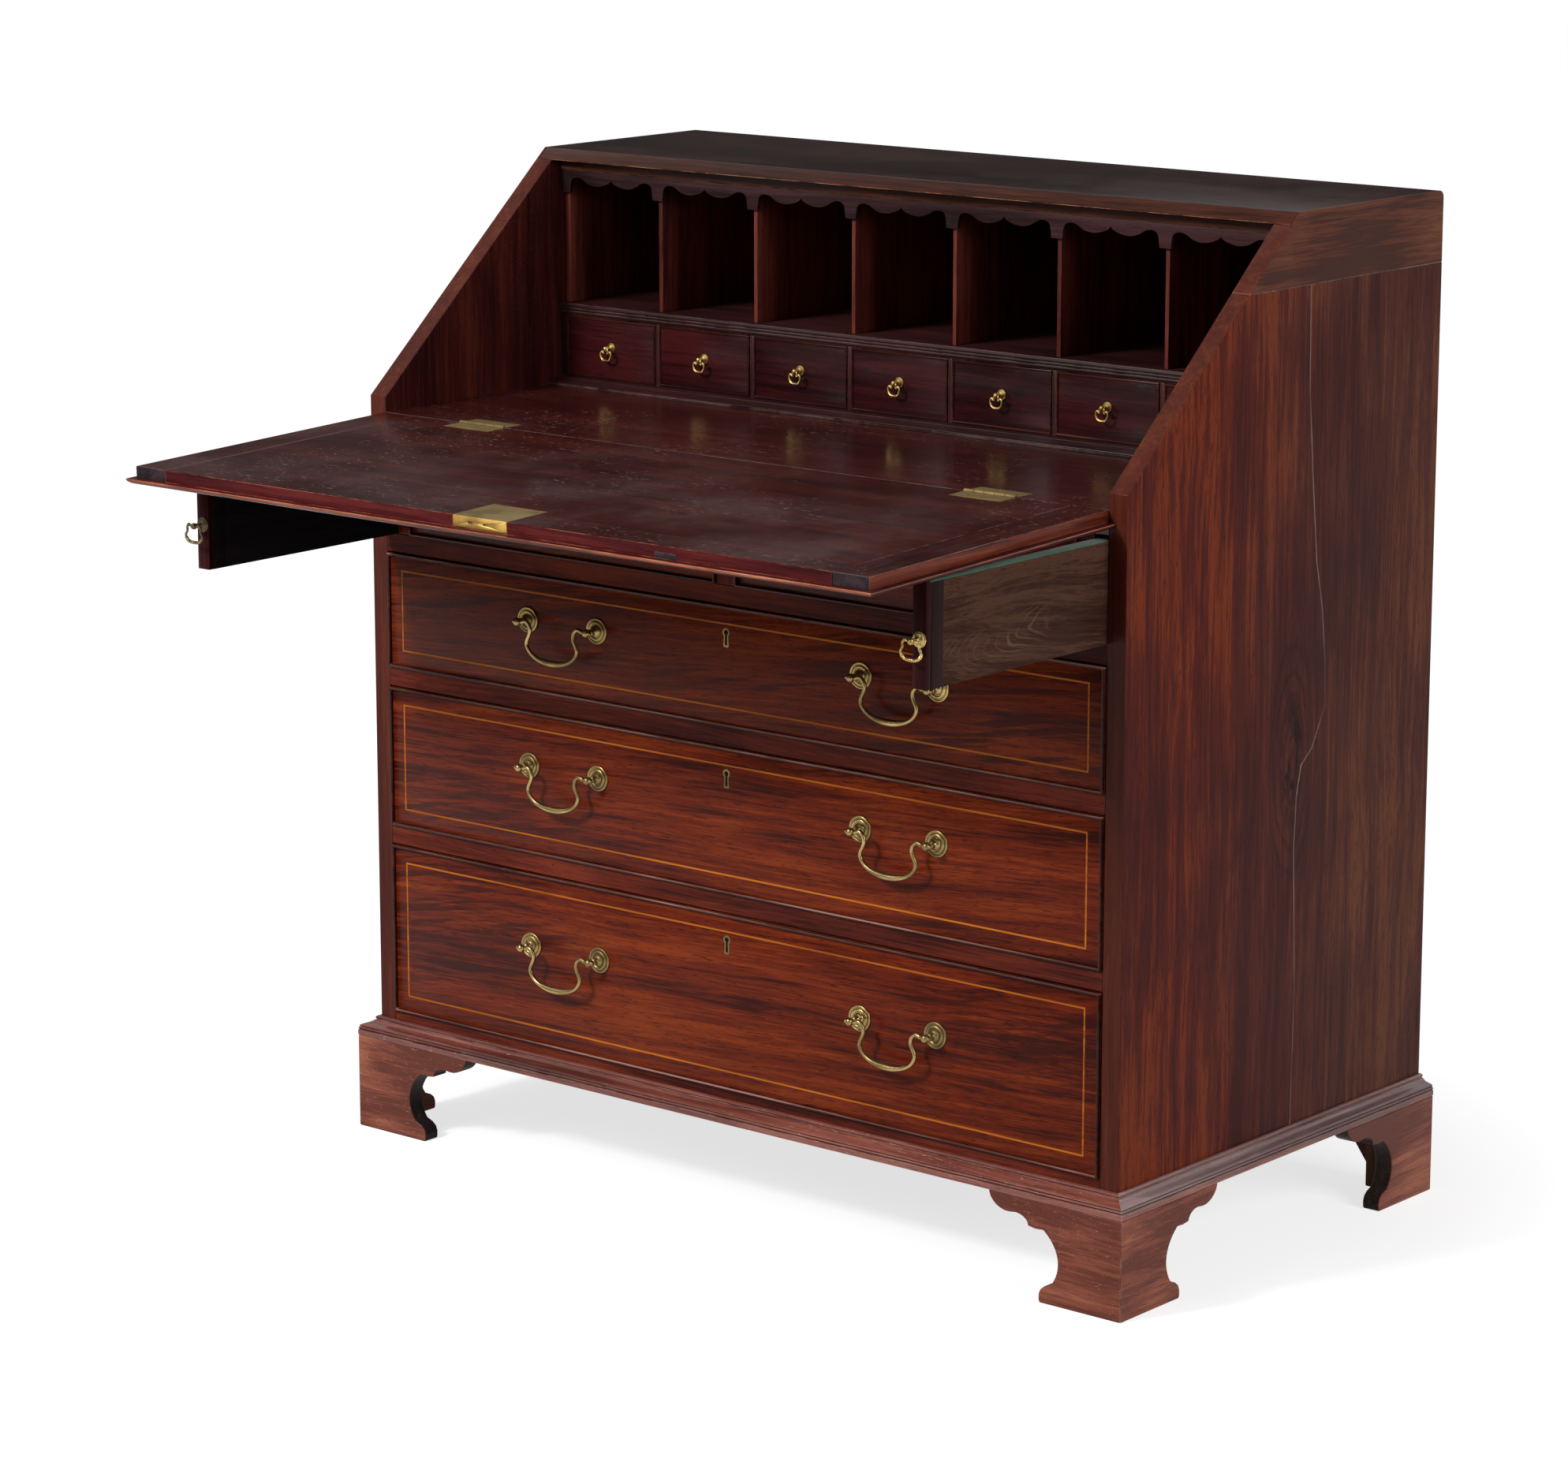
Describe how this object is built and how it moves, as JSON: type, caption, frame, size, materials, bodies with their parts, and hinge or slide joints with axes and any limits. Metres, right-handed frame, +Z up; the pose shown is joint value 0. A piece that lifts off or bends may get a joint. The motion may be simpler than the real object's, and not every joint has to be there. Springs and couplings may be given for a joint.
{
  "type": "slant-front desk",
  "caption": "Slant-front bureau with a drop writing flap on pull-out lopers, a fitted gallery inside, drawers below and bracket feet.",
  "frame": {"origin": "middle of the footprint of the desk's bounding box on the floor, with the fall open", "axes": "+X to the right seen from the front, +Y to the back, +Z up"},
  "size_m": [1.0366, 0.9098, 1.058],
  "materials": {
    "case_mahogany": "dark polished, worn at the edges",
    "front_mahogany": "polished, figured",
    "inner_mahogany": "polished, purplish brown",
    "drawer_oak": "unpolished",
    "loper_oak": "unpolished, aged",
    "aged_brass": "aged, satin"
  },
  "bodies": {
    "case": {"side_left": "case_mahogany", "side_right": "case_mahogany", "top_board": "case_mahogany", "bottom_board": "case_mahogany", "back_boards": "drawer_oak", "writing_board": "inner_mahogany", "rail_low": "case_mahogany", "rail_mid": "case_mahogany", "rail_high": "case_mahogany", "loper_partition_left": "case_mahogany", "loper_partition_right": "case_mahogany", "short_drawer_divider": "case_mahogany", "base_moulding_front": "case_mahogany", "base_moulding_left": "case_mahogany", "base_moulding_right": "case_mahogany", "foot_front_left": "case_mahogany", "foot_front_right": "case_mahogany", "foot_rear_left": "case_mahogany", "foot_rear_right": "case_mahogany", "gallery_base": "inner_mahogany", "pigeonholes": "inner_mahogany", "valance": "inner_mahogany", "hinge_fixed_left": "aged_brass", "hinge_fixed_right": "aged_brass"},
    "fall": {"fall_panel": "inner_mahogany", "fall_lock": "aged_brass", "hinge_moving_left": "aged_brass", "hinge_moving_right": "aged_brass"},
    "loper_left": {"loper_left": "loper_oak"},
    "loper_pull_left": {"loper_pull_left": "aged_brass"},
    "loper_right": {"loper_right": "loper_oak"},
    "loper_pull_right": {"loper_pull_right": "aged_brass"},
    "drawer_low": {"drawer_front_low": "front_mahogany", "drawer_tray_low": "drawer_oak"},
    "bail_low_left": {"bail_low_left": "aged_brass"},
    "bail_low_right": {"bail_low_right": "aged_brass"},
    "drawer_mid": {"drawer_front_mid": "front_mahogany", "drawer_tray_mid": "drawer_oak"},
    "bail_mid_left": {"bail_mid_left": "aged_brass"},
    "bail_mid_right": {"bail_mid_right": "aged_brass"},
    "drawer_high": {"drawer_front_high": "front_mahogany", "drawer_tray_high": "drawer_oak"},
    "bail_high_left": {"bail_high_left": "aged_brass"},
    "bail_high_right": {"bail_high_right": "aged_brass"},
    "short_drawer_left": {"short_drawer_left": "front_mahogany"},
    "short_drawer_right": {"short_drawer_right": "front_mahogany"},
    "small_drawer_1": {"small_drawer_1": "inner_mahogany"},
    "ring_pull_1": {"ring_pull_1": "aged_brass"},
    "small_drawer_2": {"small_drawer_2": "inner_mahogany"},
    "ring_pull_2": {"ring_pull_2": "aged_brass"},
    "small_drawer_3": {"small_drawer_3": "inner_mahogany"},
    "ring_pull_3": {"ring_pull_3": "aged_brass"},
    "small_drawer_4": {"small_drawer_4": "inner_mahogany"},
    "ring_pull_4": {"ring_pull_4": "aged_brass"},
    "small_drawer_5": {"small_drawer_5": "inner_mahogany"},
    "ring_pull_5": {"ring_pull_5": "aged_brass"},
    "small_drawer_6": {"small_drawer_6": "inner_mahogany"},
    "ring_pull_6": {"ring_pull_6": "aged_brass"},
    "small_drawer_7": {"small_drawer_7": "inner_mahogany"},
    "ring_pull_7": {"ring_pull_7": "aged_brass"}
  },
  "joints": [
    {"name": "fall_hinge", "type": "hinge", "parent": "case", "child": "fall", "pos_m": [0, -0.08508, 0.798], "axis": [1, 0, 0], "range_deg": [-140.94, 0]},
    {"name": "loper_left_slide", "type": "slide", "parent": "case", "child": "loper_left", "axis": [0, -1, 0], "range_m": [-0.279, 0]},
    {"name": "loper_pull_left_hinge", "type": "hinge", "parent": "loper_left", "child": "loper_pull_left", "pos_m": [-0.46955, -0.37658, 0.7145], "axis": [-1, 0, 0], "range_deg": [-35, 100]},
    {"name": "loper_right_slide", "type": "slide", "parent": "case", "child": "loper_right", "axis": [0, -1, 0], "range_m": [-0.279, 0]},
    {"name": "loper_pull_right_hinge", "type": "hinge", "parent": "loper_right", "child": "loper_pull_right", "pos_m": [0.46955, -0.37658, 0.7145], "axis": [-1, 0, 0], "range_deg": [-35, 100]},
    {"name": "drawer_low_slide", "type": "slide", "parent": "case", "child": "drawer_low", "axis": [0, -1, 0], "range_m": [0, 0.38]},
    {"name": "bail_low_left_hinge", "type": "hinge", "parent": "drawer_low", "child": "bail_low_left", "pos_m": [-0.225, -0.10208, 0.24346], "axis": [-1, 0, 0], "range_deg": [-18, 100]},
    {"name": "bail_low_right_hinge", "type": "hinge", "parent": "drawer_low", "child": "bail_low_right", "pos_m": [0.225, -0.10208, 0.24346], "axis": [-1, 0, 0], "range_deg": [-18, 100]},
    {"name": "drawer_mid_slide", "type": "slide", "parent": "case", "child": "drawer_mid", "axis": [0, -1, 0], "range_m": [0, 0.38]},
    {"name": "bail_mid_left_hinge", "type": "hinge", "parent": "drawer_mid", "child": "bail_mid_left", "pos_m": [-0.225, -0.10208, 0.44041], "axis": [-1, 0, 0], "range_deg": [-18, 100]},
    {"name": "bail_mid_right_hinge", "type": "hinge", "parent": "drawer_mid", "child": "bail_mid_right", "pos_m": [0.225, -0.10208, 0.44041], "axis": [-1, 0, 0], "range_deg": [-18, 100]},
    {"name": "drawer_high_slide", "type": "slide", "parent": "case", "child": "drawer_high", "axis": [0, -1, 0], "range_m": [0, 0.38]},
    {"name": "bail_high_left_hinge", "type": "hinge", "parent": "drawer_high", "child": "bail_high_left", "pos_m": [-0.225, -0.10208, 0.59751], "axis": [-1, 0, 0], "range_deg": [-18, 100]},
    {"name": "bail_high_right_hinge", "type": "hinge", "parent": "drawer_high", "child": "bail_high_right", "pos_m": [0.225, -0.10208, 0.59751], "axis": [-1, 0, 0], "range_deg": [-18, 100]},
    {"name": "short_drawer_left_slide", "type": "slide", "parent": "case", "child": "short_drawer_left", "axis": [0, -1, 0], "range_m": [0, 0.18]},
    {"name": "short_drawer_right_slide", "type": "slide", "parent": "case", "child": "short_drawer_right", "axis": [0, -1, 0], "range_m": [0, 0.18]},
    {"name": "small_drawer_1_slide", "type": "slide", "parent": "case", "child": "small_drawer_1", "axis": [0, -1, 0], "range_m": [0, 0.18]},
    {"name": "ring_pull_1_hinge", "type": "hinge", "parent": "small_drawer_1", "child": "ring_pull_1", "pos_m": [-0.40474, 0.18642, 0.843], "axis": [-1, 0, 0], "range_deg": [-35, 100]},
    {"name": "small_drawer_2_slide", "type": "slide", "parent": "case", "child": "small_drawer_2", "axis": [0, -1, 0], "range_m": [0, 0.18]},
    {"name": "ring_pull_2_hinge", "type": "hinge", "parent": "small_drawer_2", "child": "ring_pull_2", "pos_m": [-0.26983, 0.18642, 0.843], "axis": [-1, 0, 0], "range_deg": [-35, 100]},
    {"name": "small_drawer_3_slide", "type": "slide", "parent": "case", "child": "small_drawer_3", "axis": [0, -1, 0], "range_m": [0, 0.18]},
    {"name": "ring_pull_3_hinge", "type": "hinge", "parent": "small_drawer_3", "child": "ring_pull_3", "pos_m": [-0.13491, 0.18642, 0.843], "axis": [-1, 0, 0], "range_deg": [-35, 100]},
    {"name": "small_drawer_4_slide", "type": "slide", "parent": "case", "child": "small_drawer_4", "axis": [0, -1, 0], "range_m": [0, 0.18]},
    {"name": "ring_pull_4_hinge", "type": "hinge", "parent": "small_drawer_4", "child": "ring_pull_4", "pos_m": [0, 0.18642, 0.843], "axis": [-1, 0, 0], "range_deg": [-35, 100]},
    {"name": "small_drawer_5_slide", "type": "slide", "parent": "case", "child": "small_drawer_5", "axis": [0, -1, 0], "range_m": [0, 0.18]},
    {"name": "ring_pull_5_hinge", "type": "hinge", "parent": "small_drawer_5", "child": "ring_pull_5", "pos_m": [0.13491, 0.18642, 0.843], "axis": [-1, 0, 0], "range_deg": [-35, 100]},
    {"name": "small_drawer_6_slide", "type": "slide", "parent": "case", "child": "small_drawer_6", "axis": [0, -1, 0], "range_m": [0, 0.18]},
    {"name": "ring_pull_6_hinge", "type": "hinge", "parent": "small_drawer_6", "child": "ring_pull_6", "pos_m": [0.26983, 0.18642, 0.843], "axis": [-1, 0, 0], "range_deg": [-35, 100]},
    {"name": "small_drawer_7_slide", "type": "slide", "parent": "case", "child": "small_drawer_7", "axis": [0, -1, 0], "range_m": [0, 0.18]},
    {"name": "ring_pull_7_hinge", "type": "hinge", "parent": "small_drawer_7", "child": "ring_pull_7", "pos_m": [0.40474, 0.18642, 0.843], "axis": [-1, 0, 0], "range_deg": [-35, 100]}
  ]
}
